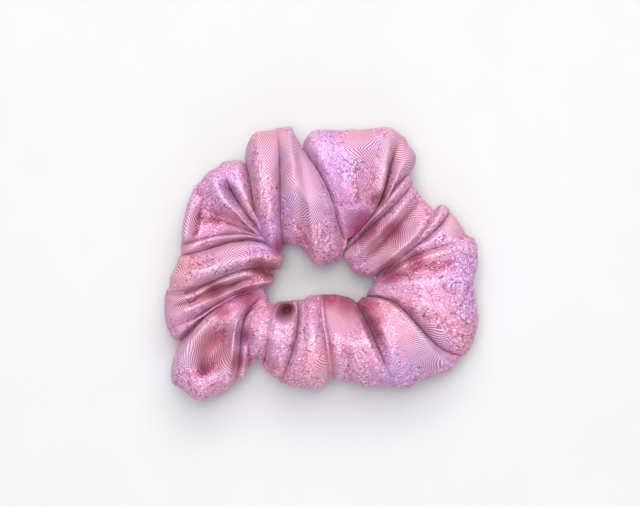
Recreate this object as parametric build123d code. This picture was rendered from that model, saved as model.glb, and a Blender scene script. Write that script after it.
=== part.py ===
"""A gathered fabric hair scrunchie: a sewn fabric tube bunched up on a closed elastic loop.

Millimetres, +Z up. The ring lies flat on the plane Z = 0. The origin is on that plane, under the
centre of the ring's outline. +Y is the side opposite the closing seam.
"""

from build123d import *
import os
from math import ceil, copysign, cos, degrees, pi, radians, sin

# The loop that everything is laid out around
LOOP_X, LOOP_Y = -0.07, -3.45  # axis of the elastic loop, from the centre of the outline
LOOP_Z = 12.5  # mid-height of the elastic

# Fabric cover
WALL = 1.2  # stands for the cloth with its small gathers pressed together
SECTION_POWER = 2.5  # squareness of a cross-section: 2 is an ellipse
SECTION_POINTS = 16
TOUCH = 0.4  # how far the folds are pressed flat where they rest on the table
FOOT = -TOUCH
TABLE = 200.0  # of a block larger than the ring, which trims it flat

# Long seam, along the underside of the tube, with its allowance turned inwards
SEAM_RADIUS = 33.0
ALLOWANCE_THICK = 0.8  # two layers of cloth
ALLOWANCE_TOP = 8.5
LONG_STITCH_Z = 6.4

# Sewing thread
THREAD = 0.35
THREAD_SINK = 0.1  # how far a stitch bites into the cloth
LONG_STITCHES = 72
LONG_STITCH_LENGTH = 2.3
CLOSING_STITCH_PITCH = 3.0
CLOSING_STITCH_LENGTH = 2.2

# Elastic band
BAND_THICK = 1.0
BAND_WIDTH = 6.0
BAND_RADIUS = 23.5  # to the middle of its thickness
LAP_ANGLE = 28.0  # about 12 mm of overlap where the ends are sewn together
LAP_GAP = 0.05
LAP_START = 250.0
LAP_RISE_ANGLE = 26.0  # over which the outer end climbs onto the inner one
BAR_TACKS = 9
BAR_TACK_HEIGHT = 4.2
BAR_TACK_MARGIN = 3.5  # degrees kept clear at each end of the overlap

# The gathers, in order round the loop. Each row is the direction from the loop's axis in degrees,
# how near to the axis and how far from it the tube reaches there, and its underside and top.
CREASE_FOOT = 3.0
SEAM_ANGLE = 274.0
GATHERS = [
    (340.0, 18.5, 59.0, FOOT, 30.0),
    (353.0, 16.5, 55.5, FOOT, 30.0),
    (13.0, 11.5, 55.5, CREASE_FOOT, 23.0),
    (22.0, 10.0, 51.0, FOOT, 28.0),
    (32.0, 10.0, 46.0, CREASE_FOOT, 21.0),
    (40.0, 10.5, 46.0, FOOT, 29.0),
    (48.0, 12.0, 48.0, CREASE_FOOT, 23.0),
    (60.0, 8.0, 57.0, FOOT, 31.0),
    (76.0, 5.5, 52.5, CREASE_FOOT, 25.0),
    (89.0, 5.0, 51.5, FOOT, 29.0),
    (96.5, 5.0, 40.0, CREASE_FOOT, 21.0),
    (104.0, 5.5, 53.0, FOOT, 32.0),
    (110.5, 7.5, 53.0, CREASE_FOOT, 26.0),
    (117.0, 10.0, 53.5, FOOT, 30.0),
    (126.0, 14.0, 47.0, CREASE_FOOT, 21.0),
    (137.0, 16.5, 53.0, FOOT, 30.0),
    (150.0, 16.3, 53.0, CREASE_FOOT, 23.0),
    (160.0, 13.5, 52.0, FOOT, 27.0),
    (170.0, 13.0, 50.5, CREASE_FOOT, 22.0),
    (183.0, 14.0, 54.0, FOOT, 31.0),
    (192.0, 17.0, 56.0, CREASE_FOOT, 23.0),
    (199.0, 18.0, 58.5, FOOT, 29.0),
    (205.5, 19.0, 55.0, CREASE_FOOT, 22.0),
    (216.0, 18.0, 62.5, FOOT, 30.0),
    (227.0, 16.0, 61.0, FOOT, 31.0),
    (236.0, 13.0, 41.0, CREASE_FOOT, 22.0),
    (241.0, 10.0, 42.0, FOOT, 27.0),
    (247.5, 9.0, 40.5, CREASE_FOOT, 22.0),
    (259.0, 7.6, 42.5, FOOT, 28.0),
    (SEAM_ANGLE, 7.5, 39.0, CREASE_FOOT, 23.0),
    (288.0, 8.5, 42.5, FOOT, 28.0),
    (299.0, 10.5, 47.0, CREASE_FOOT, 23.0),
    (313.0, 12.5, 54.0, FOOT, 31.0),
    (327.0, 17.5, 58.5, CREASE_FOOT, 23.0),
]


def radial_plane(angle):
    """The upright half-plane through the loop's axis: its x runs outwards and its y runs up."""
    outward = Vector(cos(radians(angle)), sin(radians(angle)), 0)
    return Plane(origin=(LOOP_X, LOOP_Y, 0), x_dir=outward, z_dir=outward.cross(Vector(0, 0, 1)))


def section_wire(row, inset):
    """One cross-section of the tube, a rounded box drawn as a closed spline."""
    angle, inner, outer, low, high = row
    half_width, half_height = (outer - inner) / 2 - inset, (high - low) / 2 - inset
    middle, level = (outer + inner) / 2, (high + low) / 2
    points = []
    for k in range(SECTION_POINTS):
        turn = 2 * pi * k / SECTION_POINTS
        across = copysign(abs(cos(turn)) ** (2 / SECTION_POWER), cos(turn))
        up = copysign(abs(sin(turn)) ** (2 / SECTION_POWER), sin(turn))
        points.append((middle + half_width * across, level + half_height * up))
    plane = radial_plane(angle)
    return Wire([Edge.make_spline([plane.from_local_coords((x, y, 0)) for x, y in points], periodic=True)])


def ring(inset):
    """The whole gathered tube as one solid, inset from the cloth's outer face: a straight skin from
    each cross-section to the next, with an edge along every crest and crease."""
    lines = [section_wire(row, inset).edges()[0] for row in GATHERS]
    skins = [Face.make_surface_from_curves(a, b) for a, b in zip(lines, lines[1:] + lines[:1])]
    return Solid(Shell(skins))


def seam_allowance():
    """The long seam's two raw edges, standing up inside the tube."""
    tall = Cylinder(SEAM_RADIUS + ALLOWANCE_THICK / 2, ALLOWANCE_TOP)
    bore = Cylinder(SEAM_RADIUS - ALLOWANCE_THICK / 2, ALLOWANCE_TOP)
    return Pos(LOOP_X, LOOP_Y, ALLOWANCE_TOP / 2) * (tall - bore)


def fabric_cover():
    """The hollow cloth ring, flat where it rests, with the seam allowance on its inside."""
    table = Pos(0, 0, -TABLE / 2) * Box(TABLE, TABLE, TABLE)
    return ring(0.0) - table - (ring(WALL) - seam_allowance())


def stitch(start, end):
    """One straight stitch of thread."""
    line = Edge.make_line(start, end)
    return Solid.make_cylinder(THREAD / 2, line.length, Plane(origin=line @ 0, z_dir=line % 0))


def round_the_loop(radius, angle, height):
    """A point at a distance, direction and height from the loop's axis."""
    return Vector(LOOP_X + radius * cos(radians(angle)), LOOP_Y + radius * sin(radians(angle)), height)


def long_seam_thread():
    """The lockstitch row: a needle-side and a bobbin-side stitch at each step, staggered by half."""
    step = 360 / LONG_STITCHES
    half_turn = degrees(LONG_STITCH_LENGTH / 2 / SEAM_RADIUS)
    off = ALLOWANCE_THICK / 2 + THREAD / 2 - THREAD_SINK
    stitches = []
    for k in range(LONG_STITCHES):
        for side, shift in ((-1, 0.0), (1, 0.5)):
            at, radius = (k + shift) * step, SEAM_RADIUS + side * off
            ends = [round_the_loop(radius, at + turn, LONG_STITCH_Z) for turn in (-half_turn, half_turn)]
            stitches.append(stitch(*ends))
    return Compound(stitches)


def closing_seam_thread():
    """Stitches round the tube where one end of it is tucked into the other and sewn down."""
    row = next(r for r in GATHERS if r[0] == SEAM_ANGLE)
    line = section_wire(row, THREAD_SINK - THREAD / 2).edges()[0]
    count = ceil(line.length / CLOSING_STITCH_PITCH)
    stitches = []
    for k in range(count):
        middle, along = line @ ((k + 0.5) / count), line % ((k + 0.5) / count)
        reach = along * (CLOSING_STITCH_LENGTH / 2)
        stitches.append(stitch(middle - reach, middle + reach))
    return Compound(stitches)


def elastic_band():
    """A flat braided elastic bent into a circle, its outer end lapped over its inner end."""
    lap_radius = BAND_RADIUS + BAND_THICK + LAP_GAP
    main = CenterArc((LOOP_X, LOOP_Y, LOOP_Z), BAND_RADIUS, LAP_START, 360 - LAP_RISE_ANGLE)
    lap = CenterArc((LOOP_X, LOOP_Y, LOOP_Z), lap_radius, LAP_START, LAP_ANGLE)
    rise = Spline(main @ 1, lap @ 0, tangents=(main % 1, lap % 0))
    path = Wire([main, rise, lap])
    section = Plane(origin=path @ 0, x_dir=(0, 0, 1), z_dir=path % 0) * Rectangle(BAND_WIDTH, BAND_THICK)
    return sweep(section, path=path)


def elastic_join_thread():
    """Zigzag bar tacks through both layers of the overlap, seen on its outer and inner faces."""
    off = THREAD / 2 - THREAD_SINK
    outer = BAND_RADIUS + BAND_THICK * 1.5 + LAP_GAP + off
    inner = BAND_RADIUS - BAND_THICK / 2 - off
    first, last = LAP_START + BAR_TACK_MARGIN, LAP_START + LAP_ANGLE - BAR_TACK_MARGIN
    step = (last - first) / BAR_TACKS
    low, high = LOOP_Z - BAR_TACK_HEIGHT / 2, LOOP_Z + BAR_TACK_HEIGHT / 2
    stitches = []
    for radius in (outer, inner):
        for k in range(BAR_TACKS):
            at = first + (k + 0.25) * step
            ends = (round_the_loop(radius, at, low), round_the_loop(radius, at + step / 2, high))
            stitches.append(stitch(*ends))
    return Compound(stitches)


os.makedirs("parts", exist_ok=True)
for make in (fabric_cover, elastic_band, long_seam_thread, closing_seam_thread, elastic_join_thread):
    export_step(make(), f"parts/{make.__name__}.step")
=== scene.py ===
"""A gathered brocade scrunchie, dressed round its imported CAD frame.

The cover is one closed tube of cloth. Its folds are laid out as lines that run from the hair hole to
the outer edge, a skin is stretched over them, and the cloth is then settled by simulation.
Lengths are in millimetres until a mesh is made; the frame is in metres.
"""

import bpy
import numpy as np
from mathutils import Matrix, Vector


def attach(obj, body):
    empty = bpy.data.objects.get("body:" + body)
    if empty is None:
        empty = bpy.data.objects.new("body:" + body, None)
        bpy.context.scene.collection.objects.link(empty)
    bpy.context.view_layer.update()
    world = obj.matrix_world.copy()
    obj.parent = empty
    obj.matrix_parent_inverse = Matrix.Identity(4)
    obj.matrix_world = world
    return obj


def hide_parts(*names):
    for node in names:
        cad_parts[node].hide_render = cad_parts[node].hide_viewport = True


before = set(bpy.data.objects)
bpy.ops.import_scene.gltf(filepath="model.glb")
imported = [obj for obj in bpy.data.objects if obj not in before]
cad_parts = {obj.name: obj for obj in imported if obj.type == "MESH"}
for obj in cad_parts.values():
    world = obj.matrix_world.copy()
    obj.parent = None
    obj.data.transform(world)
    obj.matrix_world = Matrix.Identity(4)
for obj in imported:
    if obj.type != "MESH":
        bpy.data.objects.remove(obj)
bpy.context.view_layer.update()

MM = 0.001

# The cover's mesh: columns go round the ring from the closing seam, rings go round the tube from
# the long seam on its underside
COLUMNS = 336
RINGS = 56
SQUARENESS = 2.3  # of the tube's section: 2 is an ellipse
WAIST = 12.0  # height at which the section is widest
FOOT = {"ridge": 0.0, "crest": 0.0, "dip": 0.5, "side": 3.0, "vee": 5.0}  # height of a line's underside
HOLD = {"ridge": 0.25, "crest": 0.4, "dip": 0.3, "side": 0.45, "vee": 0.5}  # how firmly it stays put
CLOTH_THICK = 0.4
ON_FLOOR = 0.02  # height of the cloth where it rests
SEAM_GROOVE = 0.8  # depth of the long seam

# Thread over the closing seam
THREAD = 0.35
STITCH_PITCH = 3.0
STITCH_LENGTH = 2.2
STITCH_ARCH = np.array([-1.5, 0.5, 0.9, 0.5, -1.5])  # its height along its length, in thread radii
THREAD_SIDES = 6

# The elastic inside, which the cloth can't sink into
ELASTIC_AXIS = np.array([-0.07, -3.45])
ELASTIC_RADIUS = 24.0
ELASTIC_HEIGHT = 12.5
ELASTIC_CLEAR = (2.5, 4.3)  # of the cloth from the elastic's middle, across and up

# The fold lines, clockwise from the closing seam. Each has its kind, the heights of the cloth's
# top at even steps from the hair hole to the outer edge, and its plan from the hole outwards. A ridge or
# a dip is level across the fold, a crest is a sharper ridge, a side is where a fold overhangs its
# neighbour, and a vee is a crease. Another script printed this list: it turned places noted over the
# photograph into millimetres, to the nearest half.
FOLD_LINES = [
    ("vee", (20, 22.5, 22), [(-1.5, -11.5), (-0.5, -21.5), (1.5, -31.5), (2, -42)]),
    ("ridge", (25, 28, 26), [(-4, -12), (-4, -22.5), (-4, -33), (-5, -45)]),
    ("ridge", (24, 26, 24), [(-7.5, -13.5), (-7.5, -22.5), (-9, -33), (-11.5, -44)]),
    ("vee", (15, 15, 17, 18, 19), [(-9, -13.5), (-8.5, -22.5), (-11, -33), (-15, -43)]),
    ("dip", (21, 24, 25, 24, 23), [(-12.5, -14), (-12, -24), (-15, -33), (-17.5, -41)]),
    ("crest", (24, 26, 22), [(-15.5, -14), (-15.5, -23.5), (-17.5, -31.5), (-19.5, -39)]),
    ("vee", (23, 24, 12), [(-17, -15), (-19, -24), (-20, -31.5), (-21.5, -37)]),
    ("ridge", (22, 23, 20), [(-18.5, -15), (-21.5, -21), (-23.5, -27.5), (-23.5, -35)]),
    ("ridge", (21, 21, 18), [(-19.5, -14.5), (-24.5, -20), (-26, -27), (-26, -36.5)]),
    ("ridge", (20, 19, 20), [(-20, -14), (-26.5, -21.5), (-27.5, -30.5), (-28.5, -41.5)]),
    ("vee", (16, 14, 14, 17), [(-21, -13), (-28, -20.5), (-29.5, -31.5), (-32.5, -44)]),
    ("crest", (25, 29, 27), [(-21.5, -12.5), (-29, -18.5), (-31.5, -30), (-35.5, -46.5)]),
    ("ridge", (24, 26, 27, 26, 26), [(-21.5, -11.5), (-33, -21.5), (-39, -32), (-44, -49.5)]),
    ("ridge", (22, 27, 27), [(-22, -10.5), (-38, -19.5), (-47.5, -30.5), (-52.5, -44)]),
    ("vee", (10, 12, 12, 13), [(-22, -9.5), (-36.5, -14.5), (-44.5, -21.5), (-50.5, -27.5)]),
    ("ridge", (18, 23, 23), [(-20.5, -9), (-31.5, -12.5), (-41.5, -18.5), (-54, -26.5)]),
    ("vee", (13, 15, 19, 25), [(-19.5, -8), (-29, -11), (-39.5, -16.5), (-55.5, -23.5)]),
    ("crest", (24, 26, 27), [(-17.5, -7), (-29, -9), (-40.5, -13.5), (-56.5, -19)]),
    ("dip", (22, 20, 25), [(-17.5, -5.5), (-29, -7), (-40.5, -11.5), (-56.5, -16)]),
    ("ridge", (23, 25, 26), [(-18, -4), (-29, -4.5), (-39.5, -9), (-56.5, -13)]),
    ("vee", (11, 13, 17, 24), [(-21, -3), (-28.5, -2), (-38, -6), (-56, -11)]),
    ("side", (18, 19, 21, 25), [(-15.5, -2.5), (-27.5, -2.5), (-39, -6.5), (-56, -10)]),
    ("ridge", (27, 29, 27), [(-14, 1), (-26, 1.5), (-39, -1.5), (-54.5, -5.5)]),
    ("ridge", (24, 26, 24), [(-15, 3), (-24.5, 5), (-36, 2.5), (-52, -1)]),
    ("vee", (12, 14, 15, 15), [(-16.5, 4.5), (-26.5, 8), (-38.5, 5.5), (-50.5, 2.5)]),
    ("ridge", (19, 23, 22, 21), [(-16.5, 5), (-27.5, 9.5), (-38.5, 7.5), (-50.5, 4.5)]),
    ("vee", (18, 19, 16, 16, 19), [(-17, 5), (-28.5, 10), (-39.5, 9), (-50.5, 6.5)]),
    ("ridge", (21, 22, 20, 18, 17, 19, 34), [(-17.5, 5.5), (-29, 11.5), (-41.5, 11.5), (-50.5, 10)]),
    ("dip", (20, 19, 18, 17.5, 17, 19, 34), [(-18.5, 6.5), (-29, 12.5), (-40.5, 15), (-49.5, 16)]),
    ("dip", (17, 18, 19, 19, 19, 21, 34), [(-19, 7), (-29, 13.5), (-40, 18.5), (-48, 22)]),
    ("dip", (17, 20, 21, 22, 22, 24), [(-19.5, 7.5), (-29.5, 15), (-39.5, 20.5), (-45.5, 27.5)]),
    ("crest", (23, 28, 27), [(-20, 7.5), (-27.5, 14.5), (-34, 22.5), (-40.5, 32.5)]),
    ("vee", (13, 15, 19, 26), [(-20.5, 7.5), (-26.5, 16.5), (-32, 25), (-36, 35.5)]),
    ("ridge", (20, 23, 25), [(-20, 7), (-24.5, 18), (-29, 26.5), (-31, 36.5)]),
    ("vee", (11, 14, 13, 12), [(-19.5, 5), (-23, 13), (-25, 24), (-27.5, 34.5)]),
    ("ridge", (26, 29, 28), [(-16.5, 3), (-19, 17), (-21.5, 31.5), (-22, 47)]),
    ("vee", (16, 18, 21, 27), [(-14, 6), (-15, 16.5), (-15, 27), (-16.5, 48)]),
    ("ridge", (27, 31, 30), [(-10, 6.5), (-8.5, 19), (-10, 33), (-11.5, 48.5)]),
    ("ridge", (27, 32, 29), [(-1.5, -1), (-4, 17), (-6.5, 32.5), (-8.5, 44)]),
    ("side", (16, 22, 18), [(7, 2), (4, 19), (-1, 31), (-6.5, 38)]),
    ("vee", (9, 13, 13, 11), [(8.5, 7), (4, 17.5), (-0.5, 28), (-6, 35.5)]),
    ("ridge", (14, 21, 27), [(9.5, 9), (6.5, 20.5), (2, 33), (-3, 47)]),
    ("dip", (14, 19, 21, 23, 25), [(10, 9), (11, 20.5), (10.5, 34), (10, 47.5)]),
    ("ridge", (17, 24, 28, 28, 28), [(11.5, 10), (19, 20.5), (22.5, 35), (24.5, 48)]),
    ("dip", (11, 16, 20, 26), [(11.5, 9), (20, 20.5), (24, 34), (29, 45)]),
    ("ridge", (18, 24, 26), [(12, 9), (22.5, 22.5), (28.5, 35), (31.5, 41)]),
    ("vee", (11, 15, 17, 20), [(10, 7.5), (19, 18), (26, 26.5), (32, 33)]),
    ("ridge", (24, 27, 25), [(9, 6), (17, 15), (25, 24), (31.5, 30.5)]),
    ("vee", (17, 19, 19), [(9, 4.5), (18.5, 14), (26.5, 21.5), (32, 28)]),
    ("ridge", (24, 26, 24), [(8, 1), (19, 9.5), (27.5, 19), (33, 26.5)]),
    ("dip", (20, 20, 20), [(11, -3.5), (21.5, 7), (28.5, 14.5), (35.5, 23)]),
    ("crest", (22, 27, 24), [(15, -5), (25, 2.5), (32.5, 9.5), (39, 19.5)]),
    ("side", (14, 19, 16), [(19, -4.5), (26.5, 0.5), (33, 6), (41.5, 17.5)]),
    ("vee", (9, 13, 13, 11), [(18.5, -6), (27, 2.5), (32.5, 8), (40, 18.5)]),
    ("ridge", (18, 21, 23), [(19, -6.5), (29, 4), (36.5, 11), (43.5, 20.5)]),
    ("vee", (13, 17, 17), [(19, -7), (29.5, 2.5), (38, 9.5), (45.5, 18)]),
    ("ridge", (16, 20, 24), [(18.5, -7.5), (28.5, 2), (40.5, 9), (50, 12.5)]),
    ("vee", (15, 18, 24), [(18, -8), (28.5, 0), (41.5, 5.5), (54, 9)]),
    ("crest", (19, 24, 25), [(17.5, -9), (28.5, -1.5), (42, 3.5), (55.5, 5)]),
    ("dip", (18, 22, 24.5), [(17, -9.5), (28.5, -4), (42, -0.5), (55.5, 0)]),
    ("ridge", (22, 26, 26), [(16.5, -10), (27.5, -7.5), (42, -7.5), (54.5, -6.5)]),
    ("ridge", (23, 26, 26), [(16, -11.5), (27.5, -12.5), (42, -16.5), (55.5, -21.5)]),
    ("vee", (13, 16, 16, 17), [(15.5, -12.5), (24, -13.5), (36.5, -25.5), (50.5, -33)]),
    ("crest", (24, 28.5, 27), [(14, -12.5), (23, -14.5), (34.5, -25), (46.5, -38)]),
    ("ridge", (25, 28.5, 28, 27), [(13, -14), (19, -19.5), (25, -30.5), (32.5, -43.5)]),
    ("vee", (10, 14, 18, 25, 27), [(12, -14.5), (16, -21.5), (20.5, -32), (26.5, -44.5)]),
    ("crest", (20, 27.5, 28, 27), [(10.5, -13), (13.5, -21), (18, -31.5), (24, -44.5)]),
    ("ridge", (19, 28, 26), [(9, -12.5), (10, -22.5), (12.5, -32), (16.5, -44.5)]),
    ("ridge", (18, 27, 25), [(4, -11.5), (5, -21.5), (6.5, -31.5), (8.5, -42.5)]),
    ("vee", (18, 23, 22), [(1, -11.5), (1.5, -21.5), (3, -31.5), (4, -41)]),
    ("crest", (22.5, 25.5, 24.5), [(0, -11.5), (0.5, -21.5), (2, -31.5), (3, -41.5)]),
]
STEEP = ("vee", "side")

# Hollows and pockets pressed into the upper side: plan position, half length and half width,
# direction of the length in degrees, and depth. They press fully from HOLLOW_FADE above the waist,
# and not at all below it.
HOLLOW_FADE = 6.0
HOLLOWS = [
    (-38.5, -31.0, 8.5, 4.2, 60, 13.0),
    (-13.0, -17.5, 2.7, 2.2, 45, 13.0),
    (-38.0, -10.0, 6.5, 2.0, 18, 4.0),
    (-32.5, 24.0, 5.0, 2.0, -58, 5.0),
    (-20.0, -3.0, 4.0, 2.0, -10, 6.0),
    (-39.0, 6.5, 5.5, 2.0, 20, 4.0),
    (-20.5, -36.0, 2.5, 4.5, 70, 4.0),
]

SETTLE_FRAMES = 20
SURROUND = (4, 3)  # columns and rings each way that a point's depth is measured against

# The brocade. Its ribs, lilac and coral come in patches, each a plan position and a radius; so does the
# painted shade, dark rose where folds overhang or notches run deep
RIBBED = [
    (-12, 37, 9), (-8, 28, 7), (-5, 19, 6), (-20, 43, 4), (14, 42, 6), (27, 39, 7), (22, 5, 8), (27, 11, 6),
    (32, 17, 4), (37, -30, 8), (32, -26, 6), (7, -19, 6), (1, -37, 4), (-13, -18, 4), (-44, -30, 8),
    (-33, -34, 5), (-38, -10, 6), (-31, -8, 4), (-53, -15, 5), (-53, -3, 5), (-51, 8, 5), (-33, 6, 6),
    (-48, 14, 4), (47, 13, 4),
]
LILAC_SPOTS = [
    (5, 38, 11), (-12, 22, 6), (-14, 36, 4), (-1, 21, 6), (19, 42, 4), (12, 16, 6), (-33, 26, 6), (-21, 5, 5),
    (38, -31, 7), (27, -38, 8), (-29, -28, 5), (-48, -33, 4), (51, -4, 8), (54, -14, 6), (-18, 12, 5),
]
CORAL_SPOTS = [
    (-38, -30, 6), (-39, -10, 5), (23, -17, 5), (29, -24, 3), (9, -12, 6), (-21, -2, 5), (-19, 46, 5),
    (12, 47, 6), (-50, 0, 6), (0, -35, 5),
]
# painted shade: places where folds overhang or notches run deep, darkened as patches
PAINTED_SHADE_SPOTS = [
    (3, -12, 4), (9, -13, 5), (14, -15, 5), (17, -21, 4), (19, -25, 2.5), (-13.5, -16.5, 4),
    (-23, -1.5, 3), (-18.5, -3, 3), (24, -3, 4), (33, 1, 3), (-15, 6, 3), (15, 12, 6), (20, 22, 3),
    (24, 11, 4), (-27, -12, 4), (-35, -17, 3), (-38, -10, 3), (-28, -26, 3), (-30, -35, 3),
]
PATCH_REACH = 1.5  # in radii, where a patch has faded out; it is whole one radius nearer
RIB_PITCH = 1.0  # of the ribs, in millimetres of cloth
CHEVRON_RUN = 14.0
PINK = (0.58, 0.24, 0.375, 1)
LILAC = (0.48, 0.26, 0.58, 1)
SALMON = (0.75, 0.24, 0.28, 1)
# ROSE is the dark of grooves and scrolls, and also painted shade in creases and shaded patches
ROSE = (0.27, 0.02, 0.075, 1)
# PALE is the pale thread of ribs and scrolls, and also the painted highlight on crests
PALE = (0.82, 0.64, 0.72, 1)
PEWTER = (0.08, 0.07, 0.09, 1)
# painted shade for the deepest creases
WINE = (0.09, 0.01, 0.035, 1)

# Setting, view and light, in metres and watts
FLOOR_SPAN = 4.0
CAMERA = (-0.0009, 0.0032, 0.85)
VIEW_WIDTH = 0.229  # of the picture, at the ring's mid-height
WORLD = 0.62
KEY = 20.5
OVERHEAD = 19.0
FILL = 5.0


def along(points, w):
    """Points of the smooth plan curve through four given points, and its unit direction."""
    points = np.array(points, float)
    knots = np.concatenate([[0], np.cumsum(np.linalg.norm(np.diff(points, axis=0), axis=1))])
    knots /= knots[-1]
    curve = [np.poly1d(np.polyfit(knots, points[:, axis], 3)) for axis in (0, 1)]
    place = np.stack([c(w) for c in curve], axis=1)
    heading = np.stack([c.deriv()(w) for c in curve], axis=1)
    return place, heading / np.linalg.norm(heading, axis=1, keepdims=True)


def section(kind, tops, plan):
    """One closed line round the tube at a fold line, as points and plan directions."""
    turn = 2 * np.pi * np.arange(RINGS) / RINGS - np.pi / 2
    across = np.sign(np.cos(turn)) * np.abs(np.cos(turn)) ** (2 / SQUARENESS)
    up = np.sign(np.sin(turn)) * np.abs(np.sin(turn)) ** (2 / SQUARENESS)
    w = (across + 1) / 2
    place, heading = along(plan, w)
    top = np.interp(w, np.linspace(0, 1, len(tops)), tops)
    height = WAIST + np.where(up > 0, top - WAIST, WAIST - FOOT[kind]) * up
    return np.column_stack([place, height]), heading


def eased(kind_a, kind_b, s):
    """How far a surface has gone across and up, between two fold lines, at fractions s."""
    quarter = s * np.pi / 2
    blend = s * s * (3 - 2 * s)
    if kind_a in STEEP and kind_b in STEEP:
        across, up = blend, s
    elif kind_a in STEEP:
        across, up = 1 - np.cos(quarter), np.sin(quarter)
    elif kind_b in STEEP:
        across, up = np.sin(quarter), 1 - np.cos(quarter)
    else:
        across, up = s, blend
    if "crest" in (kind_a, kind_b):
        return (across + s) / 2, (up + s) / 2
    return across, up


def bridge(a, b, s):
    """The surface from fold line a to fold line b, as columns at fractions s."""
    (kind_a, points_a, heading_a), (kind_b, points_b, heading_b) = a, b
    heading = heading_a + heading_b
    heading /= np.linalg.norm(heading, axis=1, keepdims=True)
    side = np.column_stack([-heading[:, 1], heading[:, 0], np.zeros(RINGS)])
    step = points_b - points_a
    sideways = (step * side).sum(axis=1, keepdims=True) * side
    across, up = eased(kind_a, kind_b, s)
    return points_a + across[:, None, None] * sideways + up[:, None, None] * (step - sideways)


def folded_skin():
    """The skin over the fold lines as a grid, columns by rings by xyz, and each column's hold."""
    lines = [(kind, *section(kind, tops, plan)) for kind, tops, plan in FOLD_LINES]
    pairs = list(zip(lines, lines[1:] + lines[:1]))
    probe = np.linspace(0, 1, 9)
    steps = [np.diff(bridge(a, b, probe), axis=0) for a, b in pairs]
    spans = [np.linalg.norm(step, axis=2).mean(axis=1).sum() for step in steps]
    ends = np.round(np.cumsum(spans) / sum(spans) * COLUMNS).astype(int)
    starts = np.concatenate([[0], ends[:-1]])
    grid = np.concatenate([bridge(a, b, np.arange(n) / n) for (a, b), n in zip(pairs, ends - starts)])
    holds = [HOLD[line[0]] for line in lines]
    hold = np.interp(np.arange(COLUMNS), np.append(starts, COLUMNS), holds + holds[:1])
    return grid, hold


def hollowed(grid):
    """Presses the hollows into the upper side."""
    press = np.zeros(grid.shape[:2])
    for x, y, length, width, direction, depth in HOLLOWS:
        east, north = grid[..., 0] - x, grid[..., 1] - y
        cos, sin = np.cos(np.radians(direction)), np.sin(np.radians(direction))
        away = ((east * cos + north * sin) / length) ** 2 + ((north * cos - east * sin) / width) ** 2
        press = np.maximum(press, depth * np.exp(-(away**1.5)))
    grid[..., 2] -= press * np.clip((grid[..., 2] - WAIST) / HOLLOW_FADE, 0, 1)
    return grid


def settled(grid, hold):
    """The skin after the cloth has swelled a little and buckled, still held near its folds."""
    big = 10.0  # the cloth is simulated at this many times its size
    piece = torus_piece("settling", grid * big)
    group = piece.vertex_groups.new(name="hold")
    for index, weight in enumerate(np.repeat(hold, RINGS)):
        group.add([index], float(weight), "REPLACE")
    modifier = piece.modifiers.new("cloth", "CLOTH")
    cloth = modifier.settings
    cloth.quality = 6
    cloth.mass = 0.2
    cloth.tension_stiffness = cloth.compression_stiffness = 8
    cloth.shear_stiffness = 3
    cloth.bending_stiffness = 0.3
    cloth.air_damping = 2
    cloth.shrink_min = cloth.shrink_max = -0.02
    cloth.use_pressure = True
    cloth.uniform_pressure_force = 0.1
    cloth.vertex_group_mass = "hold"
    cloth.pin_stiffness = 1.0
    cloth.effector_weights.gravity = 0
    modifier.collision_settings.use_collision = False
    modifier.point_cache.frame_start, modifier.point_cache.frame_end = 1, SETTLE_FRAMES
    for number in range(1, SETTLE_FRAMES + 1):
        bpy.context.scene.frame_set(number)
    moved = piece.evaluated_get(bpy.context.evaluated_depsgraph_get()).to_mesh()
    points = np.empty(len(moved.vertices) * 3, np.float32)
    moved.vertices.foreach_get("co", points)
    bpy.context.scene.frame_set(1)
    bpy.data.objects.remove(piece)
    return points.reshape(grid.shape).astype(float) / MM / big


def clear_of_elastic(grid):
    """Lifts or lowers cloth off the elastic, and keeps the hole's edge inside its loop."""
    turn = 2 * np.pi * np.arange(grid.shape[1]) / grid.shape[1] - np.pi / 2
    out = grid[..., :2] - ELASTIC_AXIS
    radius = np.linalg.norm(out, axis=-1)
    high = grid[..., 2] - ELASTIC_HEIGHT
    reach = ELASTIC_CLEAR[0] * np.sqrt(np.clip(1 - (high / ELASTIC_CLEAR[1]) ** 2, 0, 1))
    limit = np.where((np.cos(turn) < -0.5) & (reach > 0), ELASTIC_RADIUS - reach, np.inf)
    nearer = np.minimum(radius, limit)
    grid[..., :2] = ELASTIC_AXIS + out * (nearer / radius)[..., None]
    off = (nearer - ELASTIC_RADIUS) / ELASTIC_CLEAR[0]
    rise = ELASTIC_CLEAR[1] * np.sqrt(np.clip(1 - off**2, 0, 1))
    lifted = np.maximum(high, rise)
    lowered = np.minimum(high, -rise)
    moved = np.where(np.sin(turn) > 0, lifted, lowered)
    grid[..., 2] = ELASTIC_HEIGHT + np.where(rise > 0, moved, high)
    return grid


def subdivided(grid):
    """Twice as many columns and rings, on the smooth surface of the grid."""
    for axis in (0, 1):
        before, after = np.roll(grid, 1, axis), np.roll(grid, -1, axis)
        points, middles = (before + 6 * grid + after) / 8, (grid + after) / 2
        shape = list(grid.shape)
        shape[axis] *= 2
        grid = np.stack([points, middles], axis=axis + 1).reshape(shape)
    return grid


def normals(grid):
    """Outward unit normals of a grid."""
    along_ring = np.roll(grid, -1, 0) - np.roll(grid, 1, 0)
    around_tube = np.roll(grid, -1, 1) - np.roll(grid, 1, 1)
    normal = np.cross(around_tube, along_ring)
    return normal / np.maximum(np.linalg.norm(normal, axis=-1, keepdims=True), 1e-9)


def grid_faces(columns, rings, offset=0, flip=False):
    """Quads over a grid that wraps both ways, facing out of the tube unless flipped."""
    index = np.arange(columns * rings).reshape(columns, rings) + offset
    right, above = np.roll(index, -1, axis=0), np.roll(index, -1, axis=1)
    corner = np.roll(right, -1, axis=1)
    order = (index, right, corner, above) if flip else (index, above, corner, right)
    return np.stack(order, axis=-1).reshape(-1, 4)


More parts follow.
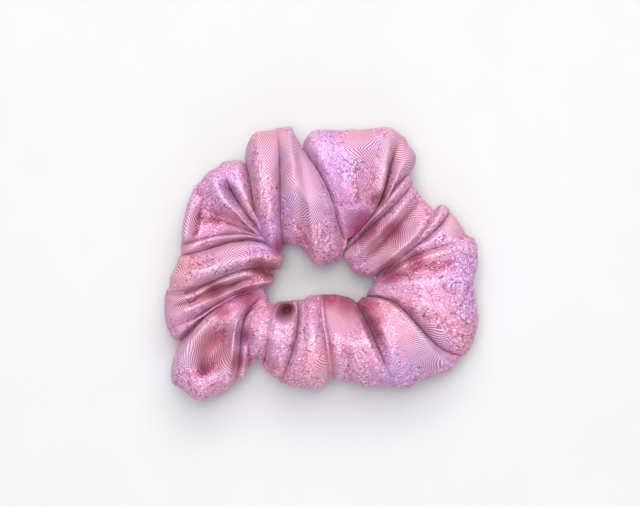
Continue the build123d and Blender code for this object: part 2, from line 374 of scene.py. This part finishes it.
def grid_uvs(columns, rings, lengths):
    """Each face corner's place on the flat cloth, in the same order as grid_faces gives them."""
    column, ring = np.meshgrid(np.arange(columns), np.arange(rings), indexing="ij")
    steps = [(0, 0), (0, 1), (1, 1), (1, 0)]
    around, across = lengths
    corners = [np.stack([around[column + a], across[ring + b]], axis=-1) for a, b in steps]
    return np.stack(corners, axis=2).reshape(-1, 2)


def new_piece(name, points, faces, material=None):
    mesh = bpy.data.meshes.new(name)
    mesh.from_pydata((np.asarray(points).reshape(-1, 3) * MM).tolist(), [], np.asarray(faces).tolist())
    mesh.polygons.foreach_set("use_smooth", np.ones(len(mesh.polygons), bool))
    piece = bpy.data.objects.new(name, mesh)
    bpy.context.collection.objects.link(piece)
    if material:
        mesh.materials.append(material)
    return piece


def torus_piece(name, grid):
    return new_piece(name, grid, grid_faces(*grid.shape[:2]))


def cloth_lengths(grid):
    """How far along the strip each column is, and across it each ring, in millimetres."""
    steps = [np.linalg.norm(np.roll(grid, -1, axis) - grid, axis=-1) for axis in (0, 1)]
    around = np.concatenate([[0], np.cumsum(np.percentile(steps[0], 75, axis=1))])
    across = np.concatenate([[0], np.cumsum(steps[1].mean(axis=0))])
    return around, across


def patches(points, spots):
    """How strongly each point of the upper side belongs to a set of patches: 1 amid one, 0 away from all."""
    spots = np.array(spots, float)
    amount = np.zeros(len(points))
    for centre, radius in zip(spots[:, :2], spots[:, 2]):
        gap = np.linalg.norm(points[:, :2] - centre, axis=1)
        amount = np.maximum(amount, np.clip(PATCH_REACH - gap / radius, 0, 1))
    return amount * (points[:, 2] > WAIST / 2)


def hollows(grid):
    """How far each point lies below the cloth around it, in millimetres; crests come out negative."""
    around = grid
    for axis, reach in enumerate(SURROUND):
        around = sum(np.roll(around, step, axis) for step in range(-reach, reach + 1)) / (2 * reach + 1)
    return ((around - grid) * normals(grid)).sum(axis=-1)


def make_cover():
    """The cloth as a closed shell: a fine outer face, and an inner face of half its fineness."""
    grid, hold = folded_skin()
    grid = hollowed(grid)
    grid = settled(grid, hold)
    grid = clear_of_elastic(grid)
    grid[:, 0, 2] += SEAM_GROOVE
    grid[..., 2] = np.maximum(grid[..., 2], 0.0)
    fine = clear_of_elastic(subdivided(grid))
    fine[..., 2] = np.maximum(fine[..., 2], ON_FLOOR)
    inner = grid - normals(grid) * CLOTH_THICK
    inner[..., 2] = np.maximum(inner[..., 2], CLOTH_THICK)
    points = np.concatenate([fine.reshape(-1, 3), inner.reshape(-1, 3)])
    outer_faces = grid_faces(*fine.shape[:2])
    inner_faces = grid_faces(*inner.shape[:2], offset=fine.shape[0] * fine.shape[1], flip=True)
    cover = new_piece("cover_cloth", points, np.concatenate([outer_faces, inner_faces]), brocade())
    uvs = np.zeros((len(cover.data.loops), 2), np.float32)
    uvs[: len(outer_faces) * 4] = grid_uvs(*fine.shape[:2], cloth_lengths(fine))
    cover.data.uv_layers.new(name="cloth_mm").data.foreach_set("uv", uvs.ravel())
    # Depth below the cloth around each point, which drives the painted shade in creases and the painted
    # highlight on crests
    depth = np.zeros(len(points))
    depth[: fine.shape[0] * fine.shape[1]] = hollows(fine).ravel()
    spots = {"ribbed": RIBBED, "lilac": LILAC_SPOTS, "coral": CORAL_SPOTS, "painted_shade": PAINTED_SHADE_SPOTS}
    looks = {name: patches(points, places) for name, places in spots.items()}
    for name, values in {**looks, "hollow": depth}.items():
        cover.data.attributes.new(name, "FLOAT", "POINT").data.foreach_set("value", values)
    return cover, fine


def make_stitches(line, outward):
    """Thread along a closed line over the cloth, showing for part of each stitch."""
    steps = np.linalg.norm(np.roll(line, -1, 0) - line, axis=1)
    run = np.concatenate([[0], np.cumsum(steps)])
    closed, facing = np.vstack([line, line[:1]]), np.vstack([outward, outward[:1]])
    count, places = int(run[-1] / STITCH_PITCH), len(STITCH_ARCH)
    points, faces = [], []
    for stitch in range(count):
        reach = np.linspace(0, STITCH_LENGTH, places) + stitch * run[-1] / count
        middle = np.stack([np.interp(reach, run, closed[:, axis]) for axis in range(3)], axis=1)
        up = np.stack([np.interp(reach, run, facing[:, axis]) for axis in range(3)], axis=1)
        middle += up * (THREAD / 2 * STITCH_ARCH)[:, None]
        side = np.cross(up, np.gradient(middle, axis=0))
        side /= np.linalg.norm(side, axis=1, keepdims=True)
        for turn in 2 * np.pi * np.arange(THREAD_SIDES) / THREAD_SIDES:
            points.append(middle + THREAD / 2 * (np.cos(turn) * side + np.sin(turn) * up))
        base = stitch * THREAD_SIDES * places
        for wall in range(THREAD_SIDES):
            here, there = base + wall * places, base + (wall + 1) % THREAD_SIDES * places
            faces += [(here + k, here + k + 1, there + k + 1, there + k) for k in range(places - 1)]
    return new_piece("closing_stitches", np.concatenate(points), faces)


class Graph:
    """A material's nodes, with short ways to add the ones that are used here."""

    def __init__(self, name):
        self.material = bpy.data.materials.new(name)
        self.material.use_nodes = True
        self.tree = self.material.node_tree
        self.shader = self.tree.nodes["Principled BSDF"]

    def add(self, kind, links=(), **settings):
        node = self.tree.nodes.new("ShaderNode" + kind)
        for key, value in settings.items():
            setattr(node, key, value)
        for socket, value in dict(links).items():
            self.feed(node.inputs[socket], value)
        return node

    def feed(self, socket, value):
        if isinstance(value, bpy.types.NodeSocket):
            self.tree.links.new(value, socket)
        else:
            socket.default_value = value

    def math(self, operation, a, b=0.0, c=0.0):
        return self.add("Math", {0: a, 1: b, 2: c}, operation=operation).outputs[0]

    def noise(self, place, scale, detail=2.0):
        links = {"Vector": place, "Scale": scale, "Detail": detail}
        return self.add("TexNoise", links)

    def fade(self, value, low, high):
        """0 below low and 1 above high, with a smooth step between."""
        links = {"Value": value, "From Min": low, "From Max": high}
        return self.add("MapRange", links, interpolation_type="SMOOTHSTEP").outputs["Result"]

    def mix(self, amount, a, b):
        node = self.add("Mix", data_type="RGBA")
        for socket, value in zip((node.inputs[0], node.inputs[6], node.inputs[7]), (amount, a, b)):
            self.feed(socket, value)
        return node.outputs[2]

    def set(self, **values):
        for socket, value in values.items():
            self.feed(self.shader.inputs[socket.replace("_", " ")], value)


def brocade():
    """Metallic-thread brocade: chevron ribs in patches, fine scrolls elsewhere, on a pink satin, with painted
    shade in its creases and shaded patches and a painted highlight on its crests.
    """
    g = Graph("brocade")
    cloth = g.add("UVMap", uv_map="cloth_mm").outputs["UV"]
    names = ("ribbed", "lilac", "coral", "painted_shade", "hollow")
    ribbed, lilac, coral, painted_shade, hollow = (g.add("Attribute", attribute_name=n).outputs["Fac"] for n in names)
    wander = g.noise(cloth, 0.06).outputs["Color"]
    drift = g.add("VectorMath", {0: wander, 1: (8, 8, 0)}, operation="MULTIPLY")
    drifted = g.add("VectorMath", {0: cloth, 1: drift.outputs[0]}, operation="ADD").outputs[0]
    parts = g.add("SeparateXYZ", {0: drifted})

    ragged = g.math("MULTIPLY", g.noise(cloth, 0.25, 2.0).outputs["Fac"], 0.9)
    ribbed = g.fade(g.math("ADD", ribbed, ragged), 0.85, 0.98)
    scrolled = g.math("SUBTRACT", 1.0, ribbed)

    chevron = g.math("ADD", parts.outputs[0], g.math("PINGPONG", parts.outputs[1], CHEVRON_RUN))
    wave = g.math("SINE", g.math("MULTIPLY", chevron, 2 * np.pi / RIB_PITCH))
    ribs = g.math("MULTIPLY", g.fade(wave, -0.5, 0.7), ribbed)
    grooves = g.math("MULTIPLY", g.fade(wave, 0.0, -0.9), ribbed)

    relief = g.noise(drifted, 0.33, 1.5).outputs["Fac"]
    worm = g.math("SINE", g.math("MULTIPLY", relief, 46.0))
    pale_worm = g.math("MULTIPLY", g.fade(worm, 0.4, 0.9), scrolled)
    dark_worm = g.math("MULTIPLY", g.fade(worm, -0.5, -0.95), scrolled)

    glint = g.noise(cloth, 0.95, 1.0).outputs["Fac"]
    sparkle = g.fade(glint, 0.5, 0.62)
    fleck_zone = g.fade(g.noise(cloth, 0.08, 2.0).outputs["Fac"], 0.46, 0.58)
    flecks = g.math("MULTIPLY", g.math("MULTIPLY", g.fade(glint, 0.46, 0.36), fleck_zone), dark_worm)
    swell = g.noise(drifted, 0.09, 1.0).outputs["Fac"]
    contour = g.math("ABSOLUTE", g.math("SINE", g.math("MULTIPLY", swell, 20.0)))
    dashes = g.fade(g.noise(cloth, 1.4, 0.0).outputs["Fac"], 0.46, 0.54)
    dashed = g.math("MULTIPLY", g.fade(contour, 0.22, 0.08), g.math("MULTIPLY", dashes, scrolled))

    shade = g.fade(g.noise(cloth, 0.05, 2.0).outputs["Fac"], 0.35, 0.65)
    base = g.mix(g.math("MULTIPLY", shade, 0.4), PINK, LILAC)
    base = g.mix(g.math("MULTIPLY", lilac, 0.8), base, LILAC)
    # painted shade: creases darken towards rose by how far they lie below the cloth around them
    base = g.mix(g.math("MULTIPLY", g.fade(hollow, 0.0, 0.5), 0.9), base, ROSE)
    base = g.mix(g.math("MULTIPLY", coral, 0.5), base, SALMON)
    # painted highlight: crests, which stand above the cloth around them, go paler
    base = g.mix(g.math("MULTIPLY", g.fade(hollow, -0.1, -0.8), 0.25), base, PALE)
    base = g.mix(g.math("MULTIPLY", grooves, 0.65), base, ROSE)
    base = g.mix(g.math("MULTIPLY", ribs, 0.5), base, PALE)
    base = g.mix(g.math("MULTIPLY", dark_worm, 0.5), base, ROSE)
    base = g.mix(g.math("MULTIPLY", pale_worm, g.math("MULTIPLY_ADD", sparkle, 0.6, 0.25)), base, PALE)
    # painted shade: patches where folds overhang or notches run deep darken towards rose
    base = g.mix(g.math("MULTIPLY", painted_shade, 0.8), base, ROSE)
    # painted shade: the deepest creases darken further to wine red, less where the cloth is coral
    base = g.mix(g.math("MULTIPLY", g.math("SUBTRACT", g.fade(hollow, 0.3, 1.1), coral), 0.8), base, WINE)
    base = g.mix(g.math("MULTIPLY", flecks, 0.9), base, PEWTER)
    base = g.mix(g.math("MULTIPLY", dashed, 0.85), base, PEWTER)

    height = g.math("ADD", ribs, g.math("MULTIPLY", pale_worm, 0.4))
    height = g.math("ADD", height, g.math("MULTIPLY", glint, 0.4))
    bump = g.add("Bump", {"Height": height, "Strength": 0.9, "Distance": 0.0002})
    g.set(Base_Color=base, Normal=bump.outputs[0], Metallic=0.2, Roughness=0.54, Specular_IOR_Level=0.35)
    g.set(Sheen_Weight=0.28, Sheen_Roughness=0.3, Sheen_Tint=(1.0, 0.62, 0.72, 1.0))
    return g.material


def braid():
    """White braided elastic, with fine ribs across it."""
    g = Graph("braid")
    place = g.add("TexCoord").outputs["Object"]
    wave = g.add("TexWave", {"Vector": place, "Scale": 900.0, "Distortion": 1.5}, bands_direction="Z")
    color = g.mix(wave.outputs["Fac"], (0.7, 0.69, 0.66, 1), (0.88, 0.87, 0.85, 1))
    bump = g.add("Bump", {"Height": wave.outputs["Fac"], "Strength": 0.6, "Distance": 0.0002})
    g.set(Base_Color=color, Normal=bump.outputs[0], Roughness=0.85)
    return g.material


def thread(name, light, dark):
    """Twisted sewing thread."""
    g = Graph(name)
    place = g.add("TexCoord").outputs["Object"]
    twist = g.noise(place, 2500.0, 2.0).outputs["Fac"]
    g.set(Base_Color=g.mix(g.fade(twist, 0.35, 0.65), dark, light), Roughness=0.5)
    return g.material


def table_top():
    """A plain, very pale matt surface."""
    g = Graph("table_top")
    place = g.add("TexCoord").outputs["Object"]
    mottle = g.noise(place, 40.0, 3.0).outputs["Fac"]
    g.set(Base_Color=g.mix(mottle, (0.49, 0.49, 0.495, 1), (0.515, 0.515, 0.52, 1)), Roughness=0.7)
    return g.material


def add_camera():
    """Straight above the ring, which lies a little below the middle of the view."""
    data = bpy.data.cameras.new("camera")
    camera = bpy.data.objects.new("camera", data)
    bpy.context.collection.objects.link(camera)
    camera.location = CAMERA
    data.sensor_width = 36
    data.lens = data.sensor_width * (CAMERA[2] - WAIST * MM) / VIEW_WIDTH
    bpy.context.scene.camera = camera


def add_light(name, place, size, power, color):
    """A round lamp that faces the middle of the floor."""
    data = bpy.data.lights.new(name, "AREA")
    data.shape, data.size, data.energy, data.color = "DISK", size, power, color
    light = bpy.data.objects.new(name, data)
    light.location = place
    light.rotation_euler = (-Vector(place)).to_track_quat("-Z", "Y").to_euler()
    bpy.context.collection.objects.link(light)


def add_world():
    """A white room with its window side towards +Y, dark towards the horizon opposite."""
    world = bpy.data.worlds.new("room")
    bpy.context.scene.world = world
    world.use_nodes = True
    nodes, links = world.node_tree.nodes, world.node_tree.links
    place = nodes.new("ShaderNodeTexCoord")
    towards = nodes.new("ShaderNodeVectorMath")
    towards.operation = "DOT_PRODUCT"
    towards.inputs[1].default_value = (0.0, 0.5, 0.87)
    links.new(place.outputs["Generated"], towards.inputs[0])
    ramp = nodes.new("ShaderNodeValToRGB")
    links.new(towards.outputs["Value"], ramp.inputs["Fac"])
    dark, light = ramp.color_ramp.elements
    dark.position, dark.color = 0.1, (0.1, 0.09, 0.1, 1)
    light.position, light.color = 0.95, (1.0, 1.0, 1.0, 1)
    links.new(ramp.outputs["Color"], nodes["Background"].inputs["Color"])
    nodes["Background"].inputs["Strength"].default_value = WORLD


add_camera()
bpy.context.scene.view_settings.view_transform = "Standard"
add_world()
add_light("key", (0.15, 0.9, 1.2), 1.4, KEY, (1.0, 0.99, 0.97))
add_light("overhead", (-0.1, 0.1, 1.6), 0.8, OVERHEAD, (0.98, 0.98, 1.0))
add_light("fill", (0.1, -0.9, 0.7), 1.2, FILL, (0.97, 0.98, 1.0))

cover, skin = make_cover()
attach(cover, "cover")
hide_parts("fabric_cover")

pink_thread = thread("pink_thread", (0.76, 0.40, 0.55, 1), (0.50, 0.20, 0.34, 1))
white_thread = thread("white_thread", (0.85, 0.84, 0.82, 1), (0.60, 0.60, 0.58, 1))
stitches = make_stitches(skin[0], normals(skin)[0])
stitches.data.materials.append(pink_thread)
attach(stitches, "cover")
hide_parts("closing_seam_thread")

kept_nodes = {"elastic_band": braid(), "elastic_join_thread": white_thread, "long_seam_thread": pink_thread}
for node, material in kept_nodes.items():
    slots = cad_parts[node].data.materials
    slots.clear()
    slots.append(material)

edge = FLOOR_SPAN / MM / 2
corners = [(-edge, -edge, 0), (edge, -edge, 0), (edge, edge, 0), (-edge, edge, 0)]
new_piece("floor", corners, [(0, 1, 2, 3)], table_top())
